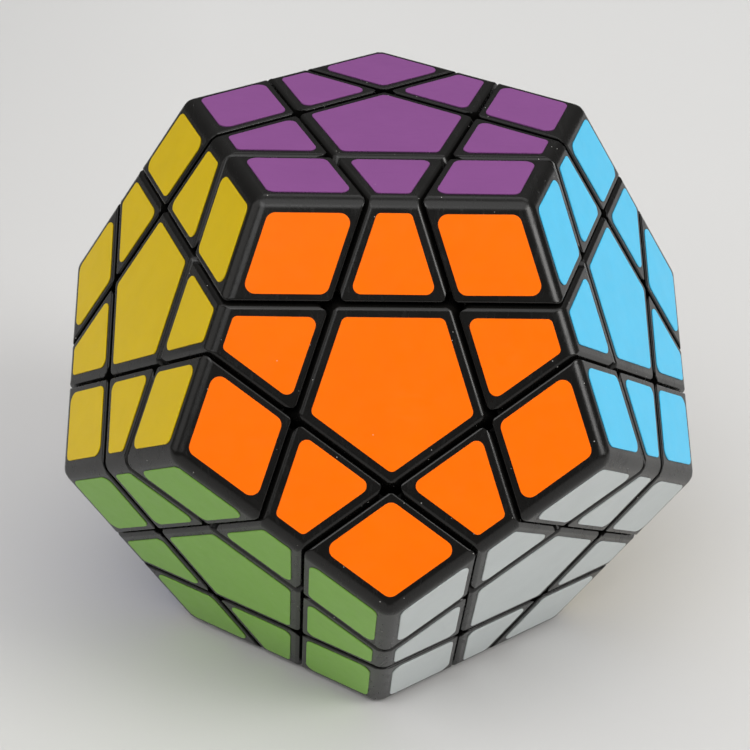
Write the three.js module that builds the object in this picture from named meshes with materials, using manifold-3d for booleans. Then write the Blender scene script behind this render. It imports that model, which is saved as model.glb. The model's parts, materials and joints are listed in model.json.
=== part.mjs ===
// A twelve-sided turning puzzle. Twelve centre pieces, thirty edge pieces and twenty corner
// pieces make a dodecahedron. Each centre is held to a core by a screw and a spring, edges hang
// by their feet under the centres, and corners hang by their feet under the edges.
// Lengths are in millimetres, +Z is up, and the origin is the middle of the bottom face.
import * as THREE from 'three';
import { mergeVertices } from 'three/addons/utils/BufferGeometryUtils.js';
import Module from 'manifold-3d';

const wasm = await Module();
wasm.setup();

// Outer shape.
const EDGE = 30; // one edge of the dodecahedron
const CUT_ON_FACE = 8.9; // from the middle of a face to each of its five cut lines
const RIDGE_FLAT = 0.42; // depth taken off each ridge between two faces
const GAP = 0.34; // space between neighbouring pieces at the surface
const INNER_GAP = 0.6; // space between their necks and feet

// How a turning layer is bounded, from the outside in: by a flat cut, then by a neck cone about
// the layer's axis, then by a wider foot cone. Both cones meet at the puzzle's middle.
const NECK_ANGLE = 43; // degrees from the axis
const FOOT_ANGLE = 51;
const FOOT_TOP = 28; // distances from the puzzle's middle
const FOOT_BASE = 23.4;

// Core, screws and springs.
const HUB_RADIUS = 9.5; // to the middle of each of the core's faces
const ARM_RADIUS = 3.4;
const ARM_LENGTH = 22.5; // from the puzzle's middle
const ARM_BORE = { radius: 1.6, base: 13.5 };
const LEDGE_TOP = 25.2; // the spring stands on this ledge inside a centre piece
const LEDGE_BORE = 1.75;
const POCKET = { radius: 3.4, top: 31.5 };
const SCREW = { headRadius: 2.9, headBase: 29.3, headTop: 30.8, shankRadius: 1.3, tip: 14 };
const SPRING = { radius: 2.25, wire: 0.3, turns: 4, clearance: 0.3 };

// How finely round shapes are faceted.
const LAYER_SIDES = 20; // a multiple of ten, so that all five neighbours see the same facets
const BORE_SIDES = 8;
const SPRING_STEPS = 8; // to a turn
const WIRE_SIDES = 5;

// Worked out from the sizes above. Neighbouring faces' axes have a cosine of 1 / sqrt(5).
const NEIGHBOUR_COS = 1 / Math.sqrt(5);
const IN_RADIUS = EDGE * Math.sqrt((25 + 11 * Math.sqrt(5)) / 40);
const MID_RADIUS = (EDGE * (3 + Math.sqrt(5))) / 4;
const CUT = IN_RADIUS * NEIGHBOUR_COS + CUT_ON_FACE * 2 * NEIGHBOUR_COS;
const FAR = 60; // beyond the whole puzzle

// The twelve faces by their colours. `ring` is 1 for the five faces around the top, -1 for the
// five around the bottom, and `turn` is in degrees from the front towards the right.
function faceAxis(ring, turn) {
  const angle = THREE.MathUtils.degToRad(turn);
  const out = 2 * NEIGHBOUR_COS;
  return new THREE.Vector3(out * Math.sin(angle), -out * Math.cos(angle), ring * NEIGHBOUR_COS);
}

const FACES = {
  purple: new THREE.Vector3(0, 0, 1),
  orange: faceAxis(1, 0),
  yellow: faceAxis(1, -72),
  sky: faceAxis(1, 72),
  white: faceAxis(1, -144),
  green: faceAxis(1, 144),
  lime: faceAxis(-1, -36),
  grey: faceAxis(-1, 36),
  blue: faceAxis(-1, -108),
  cream: faceAxis(-1, 108),
  red: faceAxis(-1, 180),
  pink: new THREE.Vector3(0, 0, -1),
};
const COLOURS = Object.keys(FACES);

// No two of these faces touch, so their layers can turn at the same time.
const TURNING = ['purple', 'lime', 'cream'];

// Each of these four corners carries the edges named with it in one moulding.
const JOINED = [
  { corner: ['white', 'blue', 'red'], edges: [['white', 'blue'], ['white', 'red'], ['blue', 'red']] },
  { corner: ['yellow', 'white', 'blue'], edges: [['yellow', 'white'], ['yellow', 'blue']] },
  { corner: ['white', 'green', 'red'], edges: [['white', 'green'], ['green', 'red']] },
  { corner: ['blue', 'red', 'pink'], edges: [['blue', 'pink'], ['red', 'pink']] },
];
const BRIDGE = { radius: 2, length: 3 }; // joins a corner to an edge across their gap

function touching(a, b) {
  return a !== b && FACES[a].dot(FACES[b]) > NEIGHBOUR_COS / 2;
}

function edgePairs() {
  return COLOURS.flatMap((a, i) => COLOURS.slice(i + 1).filter((b) => touching(a, b)).map((b) => [a, b]));
}

function cornerTriples() {
  return edgePairs().flatMap(([a, b]) => {
    const later = COLOURS.slice(COLOURS.indexOf(b) + 1);
    return later.filter((c) => touching(a, c) && touching(b, c)).map((c) => [a, b, c]);
  });
}

// The direction from the puzzle's middle to the piece that shows these faces.
function middleOf(names) {
  return names.reduce((sum, name) => sum.add(FACES[name]), new THREE.Vector3()).normalize();
}

// ---- closed solids from three.js geometry ----

function solid(geometry) {
  geometry.deleteAttribute('normal');
  geometry.deleteAttribute('uv');
  const merged = mergeVertices(geometry);
  const vertProperties = merged.attributes.position.array;
  const triVerts = new Uint32Array(merged.index.array);
  return new wasm.Manifold(new wasm.Mesh({ numProp: 3, vertProperties, triVerts }));
}

function geometryOf(body) {
  const mesh = body.getMesh();
  const geometry = new THREE.BufferGeometry();
  geometry.setAttribute('position', new THREE.BufferAttribute(mesh.vertProperties, 3));
  geometry.setIndex(new THREE.BufferAttribute(mesh.triVerts, 1));
  geometry.computeVertexNormals();
  return geometry;
}

// The turn that takes one pair of neighbouring axes to another.
function frameOf(first, second) {
  const across = first.clone().cross(second).normalize();
  return new THREE.Matrix4().makeBasis(first, across.clone().cross(first), across);
}

function turnBetween(from, to) {
  const matrix = frameOf(...to).multiply(frameOf(...from).invert());
  return new THREE.Quaternion().setFromRotationMatrix(matrix);
}

function neighbourOf(axis) {
  return Object.values(FACES).find((other) => Math.abs(other.dot(axis) - NEIGHBOUR_COS) < 0.01);
}

// Shapes are first made around +Z and then stood along an axis. Along a face's axis, the turn
// keeps their facets square to the neighbouring faces.
function alongAxis(geometry, axis) {
  const neighbour = neighbourOf(axis);
  const turn = neighbour
    ? turnBetween([FACES.purple, FACES.orange], [axis, neighbour])
    : new THREE.Quaternion().setFromUnitVectors(FACES.purple, axis);
  return geometry.applyQuaternion(turn);
}

function slab(axis, low, high) {
  const geometry = new THREE.BoxGeometry(2 * FAR, 2 * FAR, high - low);
  geometry.translate(0, 0, (low + high) / 2);
  return solid(alongAxis(geometry, axis));
}

function turned(profile, sides = BORE_SIDES) {
  const points = profile.map(([radius, height]) => new THREE.Vector2(radius, height));
  return new THREE.LatheGeometry(points, sides, Math.PI / sides).rotateX(Math.PI / 2);
}

function rod(axis, radius, low, high) {
  return solid(alongAxis(turned([[0, low], [radius, low], [radius, high], [0, high]]), axis));
}

// ---- moulded pieces ----

// What the layer of one face takes up, with `grow` added to its outer walls and `innerGrow` to
// its cones.
function layerSpace(axis, grow, innerGrow) {
  const spread = innerGrow / FOOT_TOP;
  const neck = THREE.MathUtils.degToRad(NECK_ANGLE) + spread;
  const foot = THREE.MathUtils.degToRad(FOOT_ANGLE) + spread;
  const footTop = FOOT_TOP + innerGrow;
  const cut = CUT - grow;
  const profile = [
    [0, 0],
    [footTop * Math.sin(foot), footTop * Math.cos(foot)],
    [footTop * Math.sin(neck), footTop * Math.cos(neck)],
    [cut * Math.tan(neck), cut],
    [FAR, cut],
    [FAR, FAR],
    [0, FAR],
  ];
  return solid(alongAxis(turned(profile, LAYER_SIDES), axis));
}

function dodecahedron(inRadius) {
  const faces = COLOURS.map((name) => slab(FACES[name], -FAR, inRadius));
  return faces.reduce((body, space) => body.intersect(space));
}

function wholeBody() {
  const ridges = edgePairs().map(([a, b]) => slab(middleOf([a, b]), -FAR, MID_RADIUS - RIDGE_FLAT));
  return ridges.reduce((body, space) => body.intersect(space), dodecahedron(IN_RADIUS));
}

// A piece lies in the layers of the faces it shows, and outside every other layer.
function moulding(shown) {
  const others = COLOURS.filter((name) => !shown.includes(name) && shown.every((s) => touching(s, name)));
  const inside = shown.map((name) => layerSpace(FACES[name], -GAP / 2, -INNER_GAP / 2));
  const outside = others.map((name) => layerSpace(FACES[name], GAP / 2, INNER_GAP / 2));
  const blank = wholeBody().subtract(slab(middleOf(shown), -FAR, FOOT_BASE));
  const kept = inside.reduce((piece, space) => piece.intersect(space), blank);
  return outside.reduce((piece, space) => piece.subtract(space), kept);
}

function springPocket(axis) {
  const profile = [
    [0, ARM_LENGTH],
    [LEDGE_BORE, ARM_LENGTH],
    [LEDGE_BORE, LEDGE_TOP],
    [POCKET.radius, LEDGE_TOP],
    [POCKET.radius, POCKET.top],
    [0, POCKET.top],
  ];
  return solid(alongAxis(turned(profile), axis));
}

// One piece of each kind is made, and the others are turned copies of it.
const CENTRE = moulding(['purple']).subtract(springPocket(FACES.purple));
const EDGE_PIECE = moulding(['purple', 'orange']);
const CORNER = moulding(['purple', 'orange', 'yellow']);

// The turn that takes the first piece of a kind to the piece that shows `faces`. A corner has to
// meet its faces in the same order around it, so its first two may change places.
function placing(faces) {
  const [a, b, c] = faces.map((name) => FACES[name]);
  const pattern = [FACES.purple, FACES.orange];
  const turn = turnBetween(pattern, [a, b ?? neighbourOf(a)]);
  const fits = !c || FACES.yellow.clone().applyQuaternion(turn).dot(c) > 0.99;
  return fits ? turn : turnBetween(pattern, [b, a]);
}

function placedBody(body, faces) {
  return solid(geometryOf(body).applyQuaternion(placing(faces)));
}

// The point in the middle of the wall between a corner and one of its edges.
function wallMiddle([a, b], c) {
  const depth = (CUT + IN_RADIUS) / 2;
  const planes = new THREE.Matrix3().set(...FACES[a], ...FACES[b], ...FACES[c]);
  return new THREE.Vector3(depth, depth, CUT).applyMatrix3(planes.invert());
}

function joinedBody({ corner, edges }) {
  return edges.reduce((body, pair) => {
    const third = corner.find((name) => !pair.includes(name));
    const middle = wallMiddle(pair, third);
    const geometry = alongAxis(turned([
      [0, -BRIDGE.length / 2],
      [BRIDGE.radius, -BRIDGE.length / 2],
      [BRIDGE.radius, BRIDGE.length / 2],
      [0, BRIDGE.length / 2],
    ]), FACES[third]);
    const bridge = solid(geometry.translate(...middle));
    return body.add(placedBody(EDGE_PIECE, pair)).add(bridge);
  }, placedBody(CORNER, corner));
}

// ---- core and hardware ----

function coreBody() {
  const axes = COLOURS.map((name) => FACES[name]);
  const arms = axes.map((axis) => rod(axis, ARM_RADIUS, 0, ARM_LENGTH));
  const bores = axes.map((axis) => rod(axis, ARM_BORE.radius, ARM_BORE.base, FAR));
  const spider = arms.reduce((body, arm) => body.add(arm), dodecahedron(HUB_RADIUS));
  return bores.reduce((body, bore) => body.subtract(bore), spider);
}

function screwGeometry() {
  return turned([
    [0, SCREW.tip],
    [SCREW.shankRadius, SCREW.tip],
    [SCREW.shankRadius, SCREW.headBase],
    [SCREW.headRadius, SCREW.headBase],
    [SCREW.headRadius, SCREW.headTop],
    [0, SCREW.headTop],
  ]);
}

class Coil extends THREE.Curve {
  getPoint(t, target = new THREE.Vector3()) {
    const low = LEDGE_TOP + SPRING.clearance + SPRING.wire;
    const high = SCREW.headBase - SPRING.clearance - SPRING.wire;
    const angle = 2 * Math.PI * SPRING.turns * t;
    return target.set(
      SPRING.radius * Math.cos(angle),
      SPRING.radius * Math.sin(angle),
      THREE.MathUtils.lerp(low, high, t),
    );
  }
}

function springGeometry() {
  const section = Array.from({ length: WIRE_SIDES }, (_, i) => {
    const angle = (2 * Math.PI * i) / WIRE_SIDES;
    return new THREE.Vector2(SPRING.wire * Math.cos(angle), SPRING.wire * Math.sin(angle));
  });
  const steps = SPRING.turns * SPRING_STEPS;
  return new THREE.ExtrudeGeometry(new THREE.Shape(section), { steps, extrudePath: new Coil() });
}

// ---- the assembly ----

const plastic = { color: 0x191916, roughness: 0.42, metalness: 0 };
const corePlastic = { color: 0xd9d7cf, roughness: 0.5, metalness: 0 };
const steel = { color: 0xb9bcc0, roughness: 0.3, metalness: 1 };

function named(name, geometry, look) {
  const mesh = new THREE.Mesh(geometry, new THREE.MeshStandardMaterial(look));
  mesh.name = name;
  return mesh;
}

const centreGeometry = geometryOf(CENTRE);
const edgeGeometry = geometryOf(EDGE_PIECE);
const cornerGeometry = geometryOf(CORNER);

function centrePiece(colour) {
  const mesh = named(`centre_${colour}`, centreGeometry, plastic);
  mesh.quaternion.copy(placing([colour]));
  return mesh;
}

function edgePiece(pair) {
  const mesh = named(`edge_${pair.join('_')}`, edgeGeometry, plastic);
  mesh.quaternion.copy(placing(pair));
  return mesh;
}

function cornerPiece(triple) {
  const mesh = named(`corner_${triple.join('_')}`, cornerGeometry, plastic);
  mesh.quaternion.copy(placing(triple));
  return mesh;
}

function joinedPiece(block) {
  return named(`joined_${block.corner.join('_')}`, geometryOf(joinedBody(block)), plastic);
}

// The screw and spring that hold the centre of a face whose layer turns.
function hardware(colour) {
  const group = new THREE.Group();
  group.quaternion.copy(placing([colour]));
  group.add(named(`screw_${colour}`, screwGeometry(), steel));
  group.add(named(`spring_${colour}`, springGeometry(), steel));
  return group;
}

function turningLayer(colour) {
  const layer = new THREE.Group();
  layer.add(centrePiece(colour));
  layer.add(...edgePairs().filter((pair) => pair.includes(colour)).map(edgePiece));
  layer.add(...cornerTriples().filter((triple) => triple.includes(colour)).map(cornerPiece));
  return layer;
}

function still(names) {
  const inBlock = JOINED.some(({ corner, edges }) => {
    return [corner, ...edges].some((set) => set.join() === names.join());
  });
  return !inBlock && !TURNING.some((colour) => names.includes(colour));
}

const puzzle = new THREE.Group();
puzzle.position.z = IN_RADIUS;
puzzle.add(named('core', geometryOf(coreBody()), corePlastic));
puzzle.add(...COLOURS.filter((colour) => still([colour])).map(centrePiece));
puzzle.add(...edgePairs().filter(still).map(edgePiece));
puzzle.add(...cornerTriples().filter(still).map(cornerPiece));
puzzle.add(...JOINED.map(joinedPiece));
puzzle.add(...TURNING.map(turningLayer));
puzzle.add(...TURNING.map(hardware));

const root = new THREE.Group();
root.add(puzzle);
root.updateMatrixWorld(true);

export default root;
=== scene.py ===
import json
import math
import random
from functools import reduce
from itertools import combinations

import bmesh
import bpy
from mathutils import Matrix, Vector

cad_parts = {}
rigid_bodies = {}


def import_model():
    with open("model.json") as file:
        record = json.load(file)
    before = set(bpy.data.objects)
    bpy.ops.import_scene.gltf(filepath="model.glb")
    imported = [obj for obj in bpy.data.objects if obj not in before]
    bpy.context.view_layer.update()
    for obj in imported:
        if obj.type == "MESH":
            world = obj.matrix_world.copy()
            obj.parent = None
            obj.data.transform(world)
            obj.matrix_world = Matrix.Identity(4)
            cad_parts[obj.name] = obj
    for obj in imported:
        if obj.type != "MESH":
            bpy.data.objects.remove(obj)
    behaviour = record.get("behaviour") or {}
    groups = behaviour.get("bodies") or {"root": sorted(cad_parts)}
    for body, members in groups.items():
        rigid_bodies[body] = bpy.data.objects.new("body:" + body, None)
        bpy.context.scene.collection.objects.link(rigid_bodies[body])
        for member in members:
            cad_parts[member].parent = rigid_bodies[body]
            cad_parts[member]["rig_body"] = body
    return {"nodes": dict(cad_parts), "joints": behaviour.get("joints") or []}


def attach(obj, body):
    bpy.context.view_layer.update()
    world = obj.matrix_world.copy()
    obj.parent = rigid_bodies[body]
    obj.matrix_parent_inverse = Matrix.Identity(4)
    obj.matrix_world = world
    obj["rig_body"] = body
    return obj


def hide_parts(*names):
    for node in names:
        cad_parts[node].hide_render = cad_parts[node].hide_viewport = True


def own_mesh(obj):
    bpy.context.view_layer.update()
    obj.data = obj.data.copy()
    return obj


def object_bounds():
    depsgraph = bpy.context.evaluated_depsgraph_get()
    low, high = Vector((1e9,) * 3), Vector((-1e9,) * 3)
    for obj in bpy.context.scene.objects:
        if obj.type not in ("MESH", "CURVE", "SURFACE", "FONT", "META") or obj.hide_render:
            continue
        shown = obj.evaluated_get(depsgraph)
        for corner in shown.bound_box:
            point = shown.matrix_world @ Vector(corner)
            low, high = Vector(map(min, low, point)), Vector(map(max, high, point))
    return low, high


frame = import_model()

cad_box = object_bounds()
MM = 0.001
PUZZLE_MIDDLE = Vector((0, 0, (cad_box[0].z + cad_box[1].z) / 2))

# ---- driving sizes, in millimetres and degrees ----

IN_RADIUS = (cad_box[1].z - cad_box[0].z) / 2 / MM
NEIGHBOUR_COS = 1 / math.sqrt(5)
FACE_RADIUS = IN_RADIUS * math.tan(math.acos(NEIGHBOUR_COS) / 2)  # face middle to ridge
CUT_ON_FACE = 8.9  # face middle to seam
CUT = (IN_RADIUS + 2 * CUT_ON_FACE) * NEIGHBOUR_COS
FAR = 60  # past everything
THROUGH = 1  # how far a cutting shape goes on past a surface

STICKER = {"thickness": 0.12, "from_ridge": 1.62, "from_seam": 1.215, "sunk": 0.02}
STICKER_BEVEL = 0.035
STICKER_SHARP_ANGLE = 50
STICKER_ROUND_STEPS = 7
STICKER_CORNERS = {"centre": 0.75, "edge_at_ridge": 0.62, "edge_at_seam": 0.9, "corner": 1.1}
PLASTIC_RADIUS = IN_RADIUS - STICKER["thickness"]

GAP = 0.42  # the seam between two pieces
INNER_GAP = 0.6  # between their necks and feet
RIDGE_ROUND = 1.9
SEAM_SETBACK = 0.4  # how far the rounding along a seam reaches into the face
PLAN_ROUND = 1.0
ROUND_STEPS = 6

NECK_ANGLE = 43
FOOT_ANGLE = 51
FOOT_TOP = 28
FOOT_BASE = 23.4
INNER_STEP = 0.02  # keeps the inner part's walls just inside the outer part's
INNER_DEPTH = 2.6  # how far below the faces the inner part starts
ROUND_SIDES = 90
TURNED_SIDES = 48
SHARP_ANGLE = 32

WELD = 0.001  # points closer than this become one
SAME_POINT = 0.001
PLANE_SLACK = 0.0001  # how far past a plane a point may lie and still be under it
NO_CROSSING = 0.000001  # planes whose determinant is smaller meet in no one point
SAME_WAY = 0.999  # the cosine above which two directions count as one
OFF_NORMAL = Vector((0.3, 0.5, 0.7))  # directions that no face or axis shares
OFF_AXIS = Vector((0.31, 0.52, 0.77))

HUB_RADIUS = 9.5
HUB_ROUND = 0.8
HUB_ROUND_STEPS = 4
ARM = {"radius": 3.4, "length": 22.5, "chamfer": 0.4, "collar": 0.6, "collar_taper": 1}
BORE = {"radius": 1.6, "base": 13.5, "drill_tip": 0.8, "mouth": 0.3}
BORE_SIDES = 32
LEDGE = {"top": 25.2, "bore": 1.75}
POCKET = {"radius": 3.4, "top": 31.5, "chamfer": 0.5}
SCREW = {"head": 2.9, "head_base": 29.3, "head_top": 30.8, "shank": 1.3, "tip": 14}
SCREW_EDGES = {"head_chamfer": 0.1, "rim": 0.55, "fillet": 0.15, "point": 0.35, "taper": 1.5}
SCREW_SIDES = 40
DOME_ANGLES = (20, 40, 60, 75)
RECESS = {"length": 2.6, "width": 0.62, "height": 1.6, "lift": 0.05, "narrowing": 0.55}
THREAD = {"pitch": 0.8, "depth": 0.22, "low": 16.2, "top": 22.3, "runout": 0.4, "sunk": 0.12}
THREAD_HALF = {"root": 0.4, "crest": 0.05}  # half widths, the root's in pitches
THREAD_FADE = 8  # the crest rises over an eighth of the length at each end
THREAD_LEAST = 0.05  # the share of its height that the crest starts from
THREAD_STEPS = 20  # to a turn
WASHER = {"radius": 2.85, "bore": 1.5, "low": 28.9, "high": 29.25, "chamfer": 0.06}
SPRING = {"radius": 2.25, "wire": 0.28, "turns": 5, "low": 25.5, "high": 28.58}
SPRING_END = {"turns": 0.8, "pitch": 0.9}  # each closed end; its pitch is in wire radii
SPRING_STEPS = 32  # to a turn
WIRE_SIDES = 12

# ---- the twelve faces ----


def face_axis(ring, turn):
    """The direction of a face in the upper (1) or lower (-1) ring, turned from the front."""
    out = 2 * NEIGHBOUR_COS
    angle = math.radians(turn)
    return Vector((out * math.sin(angle), -out * math.cos(angle), ring * NEIGHBOUR_COS))


FACES = {
    "purple": Vector((0, 0, 1)),
    "orange": face_axis(1, 0),
    "yellow": face_axis(1, -72),
    "sky": face_axis(1, 72),
    "white": face_axis(1, -144),
    "green": face_axis(1, 144),
    "lime": face_axis(-1, -36),
    "grey": face_axis(-1, 36),
    "blue": face_axis(-1, -108),
    "cream": face_axis(-1, 108),
    "red": face_axis(-1, 180),
    "pink": Vector((0, 0, -1)),
}


def touching(a, b):
    return a != b and FACES[a].dot(FACES[b]) > 0


def sets_of(size):
    """The sets of that many faces that all touch each other, which is one set for each piece."""
    sets = combinations(FACES, size)
    return [names for names in sets if all(touching(a, b) for a, b in combinations(names, 2))]


def neighbours(names):
    return [n for n in FACES if all(touching(n, name) for name in names)]


def seat(axis, toward):
    """The turn that takes +Z to axis and +X towards a second direction."""
    z = axis.normalized()
    x = (toward - z * toward.dot(z)).normalized()
    return Matrix((x, z.cross(x), z)).transposed()


def seat_of(names):
    """The seat of a piece or sticker on the first face named, facing the others."""
    others = names[1:] or neighbours(names)[:1]
    return seat(FACES[names[0]], sum((FACES[n] for n in others), Vector()))


# ---- mesh tools ----


def new_mesh(name, bm):
    mesh = bpy.data.meshes.new(name)
    bm.to_mesh(mesh)
    bm.free()
    return mesh


def new_object(name, mesh):
    obj = bpy.data.objects.new(name, mesh)
    bpy.context.scene.collection.objects.link(obj)
    return obj


def applied(obj):
    """The object's mesh with its modifiers applied; the object itself is removed."""
    graph = bpy.context.evaluated_depsgraph_get()
    mesh = bpy.data.meshes.new_from_object(obj.evaluated_get(graph))
    bpy.data.objects.remove(obj)
    return mesh


def boolean(mesh, other, operation):
    obj, tool = new_object("body", mesh), new_object("tool", other)
    modifier = obj.modifiers.new("boolean", "BOOLEAN")
    modifier.operation = operation
    modifier.solver = "EXACT"
    modifier.object = tool
    result = applied(obj)
    bpy.data.objects.remove(tool)
    return result


def join(mesh, other):
    return boolean(mesh, other, "UNION")


def cut(mesh, other):
    return boolean(mesh, other, "DIFFERENCE")


def common(mesh, other):
    return boolean(mesh, other, "INTERSECT")


def crossing(planes):
    """The point where three planes meet, or None."""
    matrix = Matrix([normal for normal, _ in planes])
    if abs(matrix.determinant()) < NO_CROSSING:
        return None
    return matrix.inverted() @ Vector([distance for _, distance in planes])


def convex(planes):
    """A bmesh of the space under all the planes, each (outward normal, distance)."""
    corners = []
    for three in combinations(planes, 3):
        point = crossing(three)
        if point is None or any(point.dot(n) >= distance + PLANE_SLACK for n, distance in planes):
            continue
        if all((point - p).length > SAME_POINT for p in corners):
            corners.append(point)
    bm = bmesh.new()
    verts = [bm.verts.new(p) for p in corners]
    for normal, distance in planes:
        ring = [v for v in verts if abs(v.co.dot(normal) - distance) < SAME_POINT]
        middle = sum((v.co for v in ring), Vector()) / max(len(ring), 1)
        basis = seat(normal, OFF_NORMAL.cross(normal))
        bearing = {v: math.atan2(*(basis.transposed() @ (v.co - middle)).yx) for v in ring}
        if len(ring) > 2:
            bm.faces.new(sorted(ring, key=bearing.get))
    return bm


def lathe(profile, sides=ROUND_SIDES, axis=Vector((0, 0, 1))):
    """A closed turned solid; its profile of (radius, height) starts and ends on the axis."""
    bm = bmesh.new()
    turn = seat(axis, OFF_AXIS)
    rings = []
    for radius, height in profile:
        angles = [2 * math.pi * i / sides for i in range(sides)] if radius else [0]
        points = [Vector((radius * math.cos(a), radius * math.sin(a), height)) for a in angles]
        rings.append([bm.verts.new(turn @ p) for p in points])
    for low, high in zip(rings, rings[1:]):
        for i in range(sides):
            a, b = low[i % len(low)], low[(i + 1) % len(low)]
            c, d = high[(i + 1) % len(high)], high[i % len(high)]
            bm.faces.new(list(dict.fromkeys((a, b, c, d))))
    bmesh.ops.recalc_face_normals(bm, faces=bm.faces)
    return new_mesh("lathe", bm)


def rod(axis, radius, low, high):
    return lathe([(0, low), (radius, low), (radius, high), (0, high)], TURNED_SIDES, axis)


# ---- moulded pieces ----


def layer_profile(grow, inner_grow):
    """The neck and foot of a layer, from the middle out to its flat cut."""
    spread = inner_grow / FOOT_TOP
    neck = math.radians(NECK_ANGLE) + spread
    foot = math.radians(FOOT_ANGLE) + spread
    top = FOOT_TOP + inner_grow
    profile = [(0, 0), (top * math.sin(foot), top * math.cos(foot))]
    profile.append((top * math.sin(neck), top * math.cos(neck)))
    height = CUT - grow
    return profile + [(height * math.tan(neck), height)]


def layer_space(name):
    """All that belongs to a face's layer, a little smaller, to keep its share of the gaps."""
    profile = layer_profile(-GAP / 2 - INNER_STEP, -INNER_GAP / 2)
    height = profile[-1][1]
    return lathe(profile + [(FAR, height), (FAR, FAR), (0, FAR)], axis=FACES[name])


def neck_space(name):
    """The neck and foot of a neighbouring layer, a little larger, up through its flat cut."""
    profile = layer_profile(-THROUGH, INNER_GAP / 2)
    return lathe(profile + [(0, profile[-1][1])], axis=FACES[name])


def round_edges(bm, faces_out):
    """Marks the edges that meet the outside with their share of the widest rounding."""
    layer = bm.edges.layers.float.new("bevel_weight_edge")
    shows = {f: any(f.normal.dot(axis) > SAME_WAY for axis in faces_out) for f in bm.faces}
    widths = {}
    for edge in bm.edges:
        if not any(shows[f] for v in edge.verts for f in v.link_faces):
            continue
        outer = sum(shows[f] for f in edge.link_faces)
        half_angle = (math.pi - edge.calc_face_angle()) / 2
        radius = RIDGE_ROUND if outer == 2 else PLAN_ROUND
        widths[edge] = SEAM_SETBACK if outer == 1 else radius / math.tan(half_angle)
    widest = max(widths.values())
    for edge, width in widths.items():
        edge[layer] = width / widest
    return widest


def outer_part(shown):
    """The part of a piece that shows, rounded along its ridges, seams and corners."""
    others = neighbours(shown)
    planes = [(FACES[n], PLASTIC_RADIUS) for n in shown]
    planes += [(-FACES[n], -CUT - GAP / 2) for n in shown]
    planes += [(FACES[n], CUT - GAP / 2) for n in others]
    bm = convex(planes)
    bmesh.ops.recalc_face_normals(bm, faces=bm.faces)
    bm.normal_update()
    width = round_edges(bm, [FACES[n] for n in shown])
    obj = new_object("outer", new_mesh("outer", bm))
    bevel = obj.modifiers.new("rounding", "BEVEL")
    bevel.limit_method = "WEIGHT"
    bevel.width = width
    bevel.segments = ROUND_STEPS
    bevel.use_clamp_overlap = False
    return applied(obj)


def inner_part(shown):
    """The neck and foot of a piece: what its own layers leave it below the surface."""
    toward = sum((FACES[n] for n in shown), Vector()).normalized()
    planes = [(axis, IN_RADIUS - INNER_DEPTH) for axis in FACES.values()]
    planes += [(FACES[n], CUT - GAP / 2 - INNER_STEP) for n in neighbours(shown)]
    planes.append((-toward, -FOOT_BASE))
    bm = convex(planes)
    bmesh.ops.recalc_face_normals(bm, faces=bm.faces)
    return reduce(common, map(layer_space, shown), new_mesh("inner", bm))


def spring_pocket(axis):
    radius, top, chamfer = POCKET["radius"], POCKET["top"], POCKET["chamfer"]
    profile = [(0, ARM["length"]), (LEDGE["bore"], ARM["length"]), (LEDGE["bore"], LEDGE["top"])]
    profile += [(radius, LEDGE["top"]), (radius, top - chamfer), (radius - chamfer, top), (0, top)]
    return lathe(profile, TURNED_SIDES, axis)


def weld(mesh):
    """Joins points that booleans leave a hair apart, and drops the ones along straight edges."""
    bm = bmesh.new()
    bm.from_mesh(mesh)
    bmesh.ops.remove_doubles(bm, verts=bm.verts, dist=WELD)
    bmesh.ops.dissolve_degenerate(bm, edges=bm.edges, dist=WELD)
    bmesh.ops.dissolve_verts(bm, verts=[v for v in bm.verts if len(v.link_edges) == 2])
    bm.to_mesh(mesh)
    bm.free()


def soften(mesh, angle=SHARP_ANGLE):
    """Smooth shading on round parts, with flat faces kept flat and sharp edges sharp."""
    weld(mesh)
    mesh.shade_smooth()
    obj = new_object("soften", mesh)
    mesh.set_sharp_from_angle(angle=math.radians(angle))
    weighted = obj.modifiers.new("normals", "WEIGHTED_NORMAL")
    weighted.keep_sharp = True
    return applied(obj)


def moulding(shown):
    """The whole piece that shows on those faces."""
    body = join(outer_part(shown), inner_part(shown))
    body = reduce(cut, map(neck_space, neighbours(shown)), body)
    if len(shown) == 1:
        body = cut(body, spring_pocket(FACES[shown[0]]))
    return soften(body)


# ---- putting pieces in place ----

JOINT_NAMES = [joint["name"] for joint in frame["joints"]]
TURNING = [name.removeprefix("turn_") for name in JOINT_NAMES if name.startswith("turn_")]


def nodes_by_piece():
    """The CAD node that holds each piece, found by the layers that its outermost points lie in."""
    found = {}
    for node, obj in frame["nodes"].items():
        for vert in obj.data.vertices:
            point = (vert.co - PUZZLE_MIDDLE) / MM
            if point.length > IN_RADIUS:
                layers = frozenset(n for n, axis in FACES.items() if axis.dot(point) > CUT)
                found[layers] = node
    return found


NODE_OF = nodes_by_piece()


def body_of(node):
    return frame["nodes"][node]["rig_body"]


def place(name, mesh, turn, body, material):
    """A copy of a mesh made around the middle, turned, in metres, riding a body."""
    mesh = mesh.copy()
    mesh.transform(Matrix.Translation(PUZZLE_MIDDLE) @ (turn * MM).to_4x4())
    mesh.materials.clear()
    mesh.materials.append(material)
    mesh.name = name
    obj = new_object(name, mesh)
    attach(obj, body)
    return obj


# ---- materials ----

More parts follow.
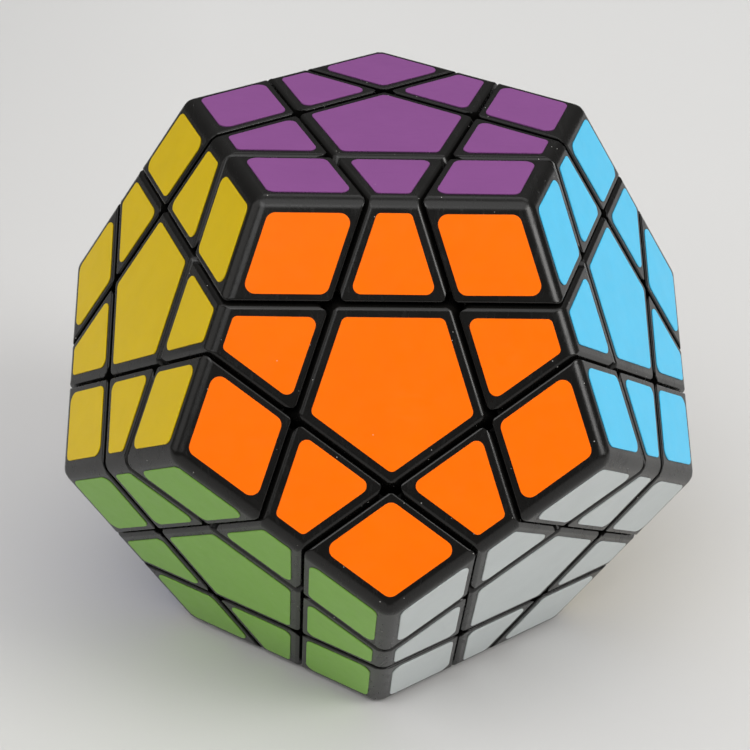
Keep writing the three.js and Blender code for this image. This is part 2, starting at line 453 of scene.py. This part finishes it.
BLACK = (0.0042, 0.004, 0.0036)
DUST_ON_BLACK = (0.55, 0.54, 0.51, 1)
DUST_ON_VINYL = (0.75, 0.74, 0.72, 1)
NYLON = (0.72, 0.7, 0.64)
PLATING = (0.62, 0.63, 0.65)
WIRE = (0.5, 0.51, 0.53)
BLACK_SPECULAR = 0.36
VINYL_SPECULAR = 0.2
BLACK_RUBS = (0.56, 0.72)  # a rub begins where noise reaches the first, and is full at the second
VINYL_RUBS = (0.58, 0.74)
NOISE_MIDDLE = (0.3, 0.7)  # where noise has most of its values
SPECK_CORE = 0.6  # the share of a speck's radius that is at full strength


class Nodes:
    """A new material, with short ways to add nodes to its tree."""

    def __init__(self, name):
        self.material = bpy.data.materials.new(name)
        self.material.use_nodes = True
        self.tree = self.material.node_tree
        self.shader = self.tree.nodes["Principled BSDF"]
        self.place = self.add("ShaderNodeTexCoord").outputs["Object"]

    def add(self, kind, **settings):
        node = self.tree.nodes.new(kind)
        for key, value in settings.items():
            setattr(node, key, value)
        return node

    def link(self, source, socket):
        if isinstance(source, bpy.types.NodeSocket):
            self.tree.links.new(source, socket)
        else:
            socket.default_value = source

    def noise(self, size, detail=2.0, stretch=None):
        """Noise with features of about that size, in millimetres."""
        where = self.place
        if stretch:
            mapping = self.add("ShaderNodeMapping")
            self.link(where, mapping.inputs["Vector"])
            mapping.inputs["Scale"].default_value = stretch
            where = mapping.outputs["Vector"]
        node = self.add("ShaderNodeTexNoise")
        self.link(where, node.inputs["Vector"])
        node.inputs["Scale"].default_value = 1 / (size * MM)
        node.inputs["Detail"].default_value = detail
        return node.outputs["Fac"]

    def ramp(self, value, low, high, to_low=0.0, to_high=1.0):
        node = self.add("ShaderNodeMapRange")
        self.link(value, node.inputs["Value"])
        numbers = {"From Min": low, "From Max": high, "To Min": to_low, "To Max": to_high}
        for socket, number in numbers.items():
            node.inputs[socket].default_value = number
        return node.outputs["Result"]

    def maths(self, operation, a, b):
        node = self.add("ShaderNodeMath", operation=operation)
        self.link(a, node.inputs[0])
        self.link(b, node.inputs[1])
        return node.outputs[0]

    def mix(self, factor, a, b):
        node = self.add("ShaderNodeMix", data_type="RGBA")
        self.link(factor, node.inputs["Factor"])
        self.link(a, node.inputs[6])
        self.link(b, node.inputs[7])
        return node.outputs[2]

    def bump(self, height, depth, strength=1.0, below=None):
        """Bump that is `depth` millimetres deep, on top of another if one is given."""
        node = self.add("ShaderNodeBump")
        self.link(height, node.inputs["Height"])
        node.inputs["Distance"].default_value = depth * MM
        node.inputs["Strength"].default_value = strength
        if below:
            self.link(below, node.inputs["Normal"])
        return node.outputs["Normal"]

    def specks(self, spacing, size, share):
        """1 on small round specks, one to each `spacing` millimetres where share is 1."""
        cells = self.add("ShaderNodeTexVoronoi")
        self.link(self.place, cells.inputs["Vector"])
        cells.inputs["Scale"].default_value = 1 / (spacing * MM)
        edge = size / spacing
        near = self.ramp(cells.outputs["Distance"], edge, edge * SPECK_CORE)
        split = self.add("ShaderNodeSeparateColor")
        self.link(cells.outputs["Color"], split.inputs["Color"])
        chosen = self.maths("LESS_THAN", split.outputs["Red"], share)
        return self.maths("MULTIPLY", near, chosen)


def shade(colour, factor):
    """The colour made darker or lighter, with its alpha."""
    return tuple(min(c * factor, 1) for c in colour) + (1,)


def black_plastic():
    """Satin black moulded plastic: faint mottling, a fine grain, rubbing marks and dust."""
    n = Nodes("black_plastic")
    mottle = n.noise(6, detail=3)
    colour = n.mix(mottle, shade(BLACK, 0.8), shade(BLACK, 1.3))
    dust = n.specks(spacing=1.3, size=0.08, share=0.6)
    colour = n.mix(n.maths("MULTIPLY", dust, 0.8), colour, DUST_ON_BLACK)
    n.link(colour, n.shader.inputs["Base Color"])
    rubbed = n.ramp(n.noise(0.5, detail=3, stretch=(1, 0.08, 0.35)), *BLACK_RUBS)
    rough = n.ramp(n.noise(3.5, detail=4), *NOISE_MIDDLE, to_low=0.2, to_high=0.28)
    rough = n.maths("ADD", rough, n.maths("MULTIPLY", rubbed, 0.1))
    n.link(n.maths("ADD", rough, n.maths("MULTIPLY", dust, 0.4)), n.shader.inputs["Roughness"])
    swell = n.bump(n.noise(2.4), depth=0.02, strength=0.5)
    grain = n.bump(n.noise(0.09), depth=0.004, strength=0.6, below=swell)
    n.link(n.bump(dust, depth=0.03, below=grain), n.shader.inputs["Normal"])
    n.shader.inputs["Specular IOR Level"].default_value = BLACK_SPECULAR
    return n.material


def vinyl(name, colour):
    """Satin vinyl film: almost even colour, a faint orange peel, hairline rubs and a few specks."""
    n = Nodes(f"vinyl_{name}")
    mottle = n.ramp(n.noise(4, detail=3), *NOISE_MIDDLE)
    film = n.mix(mottle, shade(colour, 0.975), shade(colour, 1.02))
    dust = n.specks(spacing=2.2, size=0.07, share=0.25)
    pits = n.specks(spacing=1.7, size=0.06, share=0.12)
    film = n.mix(n.maths("MULTIPLY", pits, 0.25), film, shade(colour, 0.55))
    film = n.mix(n.maths("MULTIPLY", dust, 0.5), film, DUST_ON_VINYL)
    n.link(film, n.shader.inputs["Base Color"])
    rubs = n.ramp(n.noise(0.35, detail=3, stretch=(0.12, 1, 0.5)), *VINYL_RUBS)
    rough = n.ramp(n.noise(1.6, detail=3), *NOISE_MIDDLE, to_low=0.28, to_high=0.36)
    n.link(n.maths("ADD", rough, n.maths("MULTIPLY", rubs, 0.08)), n.shader.inputs["Roughness"])
    peel = n.bump(n.noise(0.7), depth=0.006, strength=0.5)
    n.link(n.bump(pits, depth=-0.02, strength=0.8, below=peel), n.shader.inputs["Normal"])
    n.shader.inputs["Specular IOR Level"].default_value = VINYL_SPECULAR
    return n.material


def core_plastic():
    """Pale nylon with a moulded grain and flow marks."""
    n = Nodes("core_plastic")
    flow = n.mix(n.noise(5, detail=3), shade(NYLON, 0.9), shade(NYLON, 1.05))
    n.link(flow, n.shader.inputs["Base Color"])
    rough = n.ramp(n.noise(1.5, detail=3), *NOISE_MIDDLE, to_low=0.42, to_high=0.58)
    n.link(rough, n.shader.inputs["Roughness"])
    n.shader.inputs["Subsurface Weight"].default_value = 0.1
    n.shader.inputs["Subsurface Scale"].default_value = 0.5 * MM
    grain = n.bump(n.noise(0.15), depth=0.008, strength=0.6)
    n.link(grain, n.shader.inputs["Normal"])
    return n.material


def steel(name, colour, roughness):
    """Drawn or plated steel with faint streaks."""
    n = Nodes(name)
    streaks = n.noise(0.25, detail=3, stretch=(1, 1, 0.15))
    n.link(n.mix(streaks, shade(colour, 0.82), shade(colour, 1.1)), n.shader.inputs["Base Color"])
    n.shader.inputs["Metallic"].default_value = 1.0
    rough = n.ramp(streaks, *NOISE_MIDDLE, to_low=roughness - 0.08, to_high=roughness + 0.1)
    n.link(rough, n.shader.inputs["Roughness"])
    n.link(n.bump(streaks, depth=0.006, strength=0.5), n.shader.inputs["Normal"])
    return n.material


STICKER_COLOURS = {
    "purple": (0.22, 0.068, 0.238),
    "orange": (1.0, 0.155, 0.0),
    "yellow": (0.70, 0.49, 0.002),
    "sky": (0.08, 0.56, 0.87),
    "white": (0.82, 0.82, 0.8),
    "green": (0.01, 0.22, 0.07),
    "lime": (0.224, 0.455, 0.074),
    "grey": (0.56, 0.60, 0.60),
    "blue": (0.02, 0.08, 0.4),
    "cream": (0.88, 0.78, 0.48),
    "red": (0.55, 0.02, 0.025),
    "pink": (0.85, 0.26, 0.42),
}

PLASTIC = black_plastic()
CORE_PLASTIC = core_plastic()
PLATED_STEEL = steel("plated_steel", PLATING, roughness=0.3)
SPRING_STEEL = steel("spring_wire", WIRE, roughness=0.34)
VINYL = {name: vinyl(name, colour) for name, colour in STICKER_COLOURS.items()}

# ---- mouldings ----

KINDS = {1: "centre", 2: "edge", 3: "corner"}


def make_mouldings():
    first = {size: sets_of(size)[0] for size in KINDS}
    masters = {size: moulding(names) for size, names in first.items()}
    for size, kind in KINDS.items():
        for names in sets_of(size):
            turn = seat_of(names) @ seat_of(first[size]).inverted()
            label = "_".join([*names, kind])
            node = NODE_OF[frozenset(names)]
            obj = place(label, masters[size], turn, body_of(node), PLASTIC)
            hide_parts(node)


# ---- stickers ----

STICKER_SHIFT = 0.06  # how far a sticker may sit off its place, in millimetres
STICKER_SKEW = 0.4  # and turned, in degrees
STICKER_SEED = 12
sticker_luck = random.Random(STICKER_SEED)


def rounded_outline(lines, rounding):
    """Corner points of the shape under all the lines, each (direction, distance), with arcs."""
    lines = sorted(lines, key=lambda line: math.atan2(line[0].y, line[0].x))
    points = []
    for (n1, d1), (n2, d2) in zip(lines, lines[1:] + lines[:1]):
        radius = rounding(n1, n2)
        centre = Matrix((n1, n2)).inverted() @ Vector((d1 - radius, d2 - radius))
        start = math.atan2(n1.y, n1.x)
        sweep = (math.atan2(n2.y, n2.x) - start) % (2 * math.pi)
        for i in range(STICKER_ROUND_STEPS + 1):
            angle = start + sweep * i / STICKER_ROUND_STEPS
            points.append(centre + radius * Vector((math.cos(angle), math.sin(angle))))
    return points


def sticker_mesh(lines, rounding):
    """A thin closed plate on the +Z face, with a fine bevel around its top."""
    outline = rounded_outline(lines, rounding)
    middle = sum(outline, Vector((0, 0))) / len(outline)
    low = PLASTIC_RADIUS - STICKER["sunk"]
    levels = [(low, 0), (IN_RADIUS - STICKER_BEVEL, 0), (IN_RADIUS, STICKER_BEVEL)]
    bm = bmesh.new()
    rings = []
    for height, inset in levels:
        ring = []
        for point in outline:
            away = (point - middle).normalized()
            moved = point - away * inset
            ring.append(bm.verts.new((moved.x, moved.y, height)))
        rings.append(ring)
    bm.faces.new(list(reversed(rings[0])))
    bm.faces.new(rings[-1])
    for lower, upper in zip(rings, rings[1:]):
        for i, vert in enumerate(lower):
            after = (i + 1) % len(lower)
            bm.faces.new((vert, lower[after], upper[after], upper[i]))
    mesh = new_mesh("sticker", bm)
    return soften(mesh, STICKER_SHARP_ANGLE)


def on_face(turn):
    """The direction that many degrees round a face, from +X."""
    return Vector((math.cos(math.radians(turn)), math.sin(math.radians(turn))))


def sticker_masters():
    seam, ridge = STICKER["from_seam"], STICKER["from_ridge"]
    inside = CUT_ON_FACE - seam
    beyond = -(CUT_ON_FACE + seam)
    rim = FACE_RADIUS - ridge
    centre = [(on_face(72 * i), inside) for i in range(5)]
    edge = [(on_face(0), rim), (-on_face(0), beyond), (on_face(72), inside), (on_face(-72), inside)]
    corner = [(on_face(a), rim) for a in (-36, 36)] + [(-on_face(a), beyond) for a in (-36, 36)]

    def edge_round(n1, n2):
        at_ridge = max(n1.x, n2.x) > SAME_WAY
        return STICKER_CORNERS["edge_at_ridge" if at_ridge else "edge_at_seam"]

    return {
        1: sticker_mesh(centre, lambda n1, n2: STICKER_CORNERS["centre"]),
        2: sticker_mesh(edge, edge_round),
        3: sticker_mesh(corner, lambda n1, n2: STICKER_CORNERS["corner"]),
    }


def stuck_by_hand(master):
    """A copy of a sticker, a hair off its place and a little askew."""
    mesh = master.copy()
    shift = [sticker_luck.uniform(-STICKER_SHIFT, STICKER_SHIFT) for _ in range(2)]
    skew = math.radians(sticker_luck.uniform(-STICKER_SKEW, STICKER_SKEW))
    middle = sum((v.co for v in mesh.vertices), Vector()) / len(mesh.vertices)
    moved = Matrix.Translation(middle + Vector((*shift, 0)))
    mesh.transform(moved @ Matrix.Rotation(skew, 4, "Z") @ Matrix.Translation(-middle))
    return mesh


def make_stickers():
    masters = sticker_masters()
    for size, kind in KINDS.items():
        for names in sets_of(size):
            body = body_of(NODE_OF[frozenset(names)])
            for name in names:
                others = [n for n in names if n != name]
                label = "_".join([name, "sticker", kind, *others])
                mesh = stuck_by_hand(masters[size])
                place(label, mesh, seat_of([name, *others]), body, VINYL[name])


# ---- core and hardware ----


def arm_profile():
    radius, length, chamfer = ARM["radius"], ARM["length"], ARM["chamfer"]
    wide, collar_top = radius + ARM["collar"], HUB_RADIUS + chamfer
    profile = [(0, 0), (wide, 0), (wide, collar_top), (radius, collar_top + ARM["collar_taper"])]
    return profile + [(radius, length - chamfer), (radius - chamfer, length), (0, length)]


def bore_profile():
    radius, base, mouth, end = BORE["radius"], BORE["base"], BORE["mouth"], ARM["length"]
    profile = [(0, base - BORE["drill_tip"]), (radius, base), (radius, end - mouth)]
    return profile + [(radius + 2 * mouth, end + mouth), (0, FAR)]


def core_mesh():
    bm = convex([(axis, HUB_RADIUS) for axis in FACES.values()])
    bmesh.ops.recalc_face_normals(bm, faces=bm.faces)
    hub = new_object("hub", new_mesh("hub", bm))
    bevel = hub.modifiers.new("rounding", "BEVEL")
    bevel.width = HUB_ROUND
    bevel.segments = HUB_ROUND_STEPS
    body = applied(hub)
    for axis in FACES.values():
        body = join(body, lathe(arm_profile(), TURNED_SIDES, axis))
    for axis in FACES.values():
        body = cut(body, lathe(bore_profile(), BORE_SIDES, axis))
    return soften(body)


def shank_profile():
    shank, tip, base = SCREW["shank"], SCREW["tip"], SCREW["head_base"]
    point, fillet = SCREW_EDGES["point"], SCREW_EDGES["fillet"]
    root, thread_top = shank - THREAD["depth"], THREAD["top"]
    profile = [(0, tip), (point, tip), (shank - point, tip + SCREW_EDGES["taper"])]
    profile += [(root, THREAD["low"]), (root, thread_top), (shank, thread_top + THREAD["runout"])]
    return profile + [(shank, base - fillet), (shank + fillet, base)]


def head_profile():
    head, base, top = SCREW["head"], SCREW["head_base"], SCREW["head_top"]
    chamfer, rim = SCREW_EDGES["head_chamfer"], base + SCREW_EDGES["rim"]
    profile = [(head - chamfer, base), (head, base + chamfer), (head, rim)]
    for angle in map(math.radians, DOME_ANGLES):
        profile.append((head * math.cos(angle), rim + (top - rim) * math.sin(angle)))
    return profile + [(0, top)]


def recess_mesh(turn):
    """One slot of the cross recess, narrower at its bottom."""
    top = SCREW["head_top"]
    bm = bmesh.new()
    bmesh.ops.create_cube(bm, size=1)
    size = Matrix.Diagonal((RECESS["length"], RECESS["width"], RECESS["height"], 1))
    where = Matrix.Translation((0, 0, top + RECESS["lift"]))
    bm.transform(where @ Matrix.Rotation(math.radians(turn), 4, "Z") @ size)
    for v in bm.verts:
        if v.co.z < top:
            v.co.x *= RECESS["narrowing"]
            v.co.y *= RECESS["narrowing"]
    return new_mesh("recess", bm)


def screw_mesh():
    """A pan-head screw with a cross recess and a rolled thread, along +Z."""
    body = lathe(shank_profile() + head_profile(), SCREW_SIDES)
    body = reduce(cut, map(recess_mesh, (0, 90)), body)
    return join(body, thread_mesh())


def helix_mesh(turns, steps, section_at):
    """A closed tube along a helix: section_at(t) gives the ring of points at share t."""
    bm = bmesh.new()
    count = int(turns * steps)
    rings = [[bm.verts.new(p) for p in section_at(i / count)] for i in range(count + 1)]
    for low, high in zip(rings, rings[1:]):
        for i in range(len(low)):
            after = (i + 1) % len(low)
            bm.faces.new((low[i], low[after], high[after], high[i]))
    bm.faces.new(list(reversed(rings[0])))
    bm.faces.new(rings[-1])
    bmesh.ops.recalc_face_normals(bm, faces=bm.faces)
    return new_mesh("helix", bm)


def thread_mesh():
    low, high = THREAD["low"], THREAD["top"]
    turns = (high - low) / THREAD["pitch"]
    root = SCREW["shank"] - THREAD["depth"] - THREAD["sunk"]

    def section(t):
        angle = 2 * math.pi * turns * t
        height = low + (high - low) * t
        fade = min(1, t * THREAD_FADE, (1 - t) * THREAD_FADE)
        crest = root + THREAD["sunk"] + THREAD["depth"] * max(fade, THREAD_LEAST)
        low_half, top_half = THREAD["pitch"] * THREAD_HALF["root"], THREAD_HALF["crest"]
        points = [(root, -low_half), (crest, -top_half), (crest, top_half), (root, low_half)]
        out = Vector((math.cos(angle), math.sin(angle), 0))
        return [out * radius + Vector((0, 0, height + rise)) for radius, rise in points]

    return helix_mesh(turns, THREAD_STEPS, section)


def spring_mesh():
    """A compression spring with closed ends, along +Z."""
    low, high = SPRING["low"], SPRING["high"]
    turns, wire = SPRING["turns"], SPRING["wire"]
    end, end_pitch = SPRING_END["turns"], SPRING_END["pitch"] * wire

    def section(t):
        angle = 2 * math.pi * turns * t
        done = t * turns
        open_share = min(max((done - end) / (turns - 2 * end), 0), 1)
        closed = end_pitch * (min(done, end) + max(done - turns + end, 0))
        height = low + closed + (high - low - 2 * end * end_pitch) * open_share
        out = Vector((math.cos(angle), math.sin(angle), 0))
        ring = []
        for i in range(WIRE_SIDES):
            a = 2 * math.pi * i / WIRE_SIDES
            radius = SPRING["radius"] + wire * math.cos(a)
            ring.append(out * radius + Vector((0, 0, height + wire * math.sin(a))))
        return ring

    return helix_mesh(turns, SPRING_STEPS, section)


def washer_mesh():
    radius, low, high, chamfer = WASHER["radius"], WASHER["low"], WASHER["high"], WASHER["chamfer"]
    ring = [(0, low), (radius - chamfer, low), (radius, low + chamfer), (radius, high - chamfer)]
    ring += [(radius - chamfer, high), (0, high)]
    hole = rod(Vector((0, 0, 1)), WASHER["bore"], low - THROUGH, high + THROUGH)
    return cut(lathe(ring, TURNED_SIDES), hole)


def make_core():
    body, turn = body_of("core"), Matrix.Identity(3)
    core = place("core_spider", core_mesh(), turn, body, CORE_PLASTIC)
    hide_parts("core")


def make_hardware():
    screw, washer, spring = soften(screw_mesh()), soften(washer_mesh()), soften(spring_mesh())
    body = body_of("core")
    for name, axis in FACES.items():
        turn = seat_of([name])
        screw_obj = place(f"{name}_screw", screw, turn, body, PLATED_STEEL)
        spring_obj = place(f"{name}_spring", spring, turn, body, SPRING_STEEL)
        place(f"{name}_washer", washer, turn, body, PLATED_STEEL)
        if name not in TURNING:
            continue
        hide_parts(f"screw_{name}")
        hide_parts(f"spring_{name}")
        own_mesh(spring_obj)


# ---- camera, lights and floor ----

# millimetres and degrees, from the puzzle's middle
CAMERA = {"distance": 250.5, "elevation": 30.03, "azimuth": -2.77, "roll": 1.87}
CAMERA_SHIFT = {"right": -0.52, "up": -0.71}
LENS = 94.85
SENSOR = 36
CLIP = (0.01, 20)  # metres
WORLD_COLOUR = (1.0, 0.985, 0.97, 1)
# the sky's strength, by the height of the direction looked in
WORLD_RISE = {"From Min": 0.3, "From Max": 0.95, "To Min": 0.1, "To Max": 0.45}
FLOOR_PAINTED_FALLOFF = (-0.2, 0.35)  # painted light falloff: the paper's colour is painted paler from front to back, standing in for stronger light behind, in metres
FLOOR_PAINTED_SHADOW_SIDE = (-0.42, -0.03)  # painted shadow: the paper is painted dark at the far left, fading out by the middle
FLOOR_DROP = 0.02  # below the stickers that stand on it, in millimetres
FLOOR_RADIUS = 2.5  # metres
FLOOR_SIDES = 64
PAPER_ROUGHNESS = 0.75
# the paper's colour with painted light falloff: dimmer in front, paler behind
PAPER_PAINTED_DIM_FRONT = (0.56, 0.552, 0.543, 1)
PAPER_PAINTED_LIT_BEHIND = (0.735, 0.738, 0.735, 1)
# the colour of the painted shadow laid over the paper at the far left
PAINTED_SHADOW_LEFT = (0.2, 0.2, 0.2, 1)
PAPER_MOTTLE = (0.985, 0.985, 0.985, 1)
# azimuth and elevation in degrees, distance and size in metres, watts, colour
SOFTBOXES = {
    "window": (62, 34, 1.2, (0.5, 0.6), 7.2, (1, 0.99, 0.97)),
    "overhead": (0, 72, 1.2, (1.5, 1.1), 6.6, (1, 1, 1)),
    "front": (-28, 46, 1.3, (0.8, 0.8), 5, (1, 1, 1)),
    "left": (-85, 32, 1.3, (1.0, 1.0), 2.9, (1, 0.975, 0.95)),
    "rear": (165, 50, 1.7, (1.4, 0.7), 2.2, (1, 1, 1)),
}


def make_camera():
    azimuth, elevation = math.radians(CAMERA["azimuth"]), math.radians(CAMERA["elevation"])
    out = math.cos(elevation)
    back = Vector((math.sin(azimuth) * out, -math.cos(azimuth) * out, math.sin(elevation)))
    right = Vector((0, 0, 1)).cross(back).normalized()
    up = back.cross(right)
    roll = Matrix.Rotation(math.radians(CAMERA["roll"]), 3, "Z")
    basis = Matrix((right, up, back)).transposed() @ roll
    data = bpy.data.cameras.new("camera")
    data.lens = LENS
    data.sensor_width = SENSOR
    data.clip_start, data.clip_end = CLIP
    camera = new_object("camera", data)
    aside = CAMERA_SHIFT["right"], CAMERA_SHIFT["up"]
    offset = basis @ Vector((*aside, CAMERA["distance"])) * MM
    camera.matrix_world = Matrix.Translation(PUZZLE_MIDDLE + offset) @ basis.to_4x4()
    bpy.context.scene.camera = camera


def softbox(name, azimuth, elevation, distance, size, power, colour):
    a, e = math.radians(azimuth), math.radians(elevation)
    back = Vector((math.sin(a) * math.cos(e), -math.cos(a) * math.cos(e), math.sin(e)))
    data = bpy.data.lights.new(name, "AREA")
    data.shape = "RECTANGLE"
    data.size, data.size_y = size
    data.energy = power
    data.color = colour
    light = new_object(name, data)
    light.location = PUZZLE_MIDDLE + back * distance
    light.rotation_mode = "QUATERNION"
    light.rotation_quaternion = back.to_track_quat("Z", "Y")


def make_floor():
    n = Nodes("floor_paper_painted_light")
    split = n.add("ShaderNodeSeparateXYZ")
    n.link(n.place, split.inputs["Vector"])
    # painted light falloff: the paper is painted paler towards the back
    back = n.ramp(split.outputs["Y"], *FLOOR_PAINTED_FALLOFF)
    paper = n.mix(n.noise(60, detail=3), PAPER_MOTTLE, (1, 1, 1, 1))
    paper_painted_falloff = n.add("ShaderNodeMix", data_type="RGBA", blend_type="MULTIPLY")
    paper_painted_falloff.inputs["Factor"].default_value = 1
    n.link(n.mix(back, PAPER_PAINTED_DIM_FRONT, PAPER_PAINTED_LIT_BEHIND), paper_painted_falloff.inputs[6])
    n.link(paper, paper_painted_falloff.inputs[7])
    # painted shadow: dark paint over the paper at the far left, fading out by the middle
    lit = n.ramp(split.outputs["X"], *FLOOR_PAINTED_SHADOW_SIDE)
    n.link(n.mix(lit, PAINTED_SHADOW_LEFT, paper_painted_falloff.outputs[2]), n.shader.inputs["Base Color"])
    n.shader.inputs["Roughness"].default_value = PAPER_ROUGHNESS
    fibres = n.bump(n.noise(0.6, detail=3), depth=0.01, strength=0.4)
    n.link(fibres, n.shader.inputs["Normal"])
    bm = bmesh.new()
    bmesh.ops.create_circle(bm, cap_ends=True, segments=FLOOR_SIDES, radius=FLOOR_RADIUS)
    bm.transform(Matrix.Translation((0, 0, -FLOOR_DROP * MM)))
    floor = new_object("floor", new_mesh("floor", bm))
    floor.data.materials.append(n.material)


def make_world():
    """A dim room: dark around the horizon, pale overhead."""
    world = bpy.data.worlds.new("studio")
    world.use_nodes = True
    tree = world.node_tree
    direction = tree.nodes.new("ShaderNodeTexCoord").outputs["Generated"]
    split = tree.nodes.new("ShaderNodeSeparateXYZ")
    tree.links.new(direction, split.inputs["Vector"])
    rise = tree.nodes.new("ShaderNodeMapRange")
    rise.interpolation_type = "SMOOTHSTEP"
    tree.links.new(split.outputs["Z"], rise.inputs["Value"])
    for socket, number in WORLD_RISE.items():
        rise.inputs[socket].default_value = number
    background = tree.nodes["Background"]
    background.inputs["Color"].default_value = WORLD_COLOUR
    tree.links.new(rise.outputs["Result"], background.inputs["Strength"])
    bpy.context.scene.world = world


make_camera()
make_floor()
make_world()
for name, settings in SOFTBOXES.items():
    softbox(name, *settings)
bpy.context.scene.view_settings.view_transform = "Standard"

make_mouldings()
make_stickers()
make_core()
make_hardware()
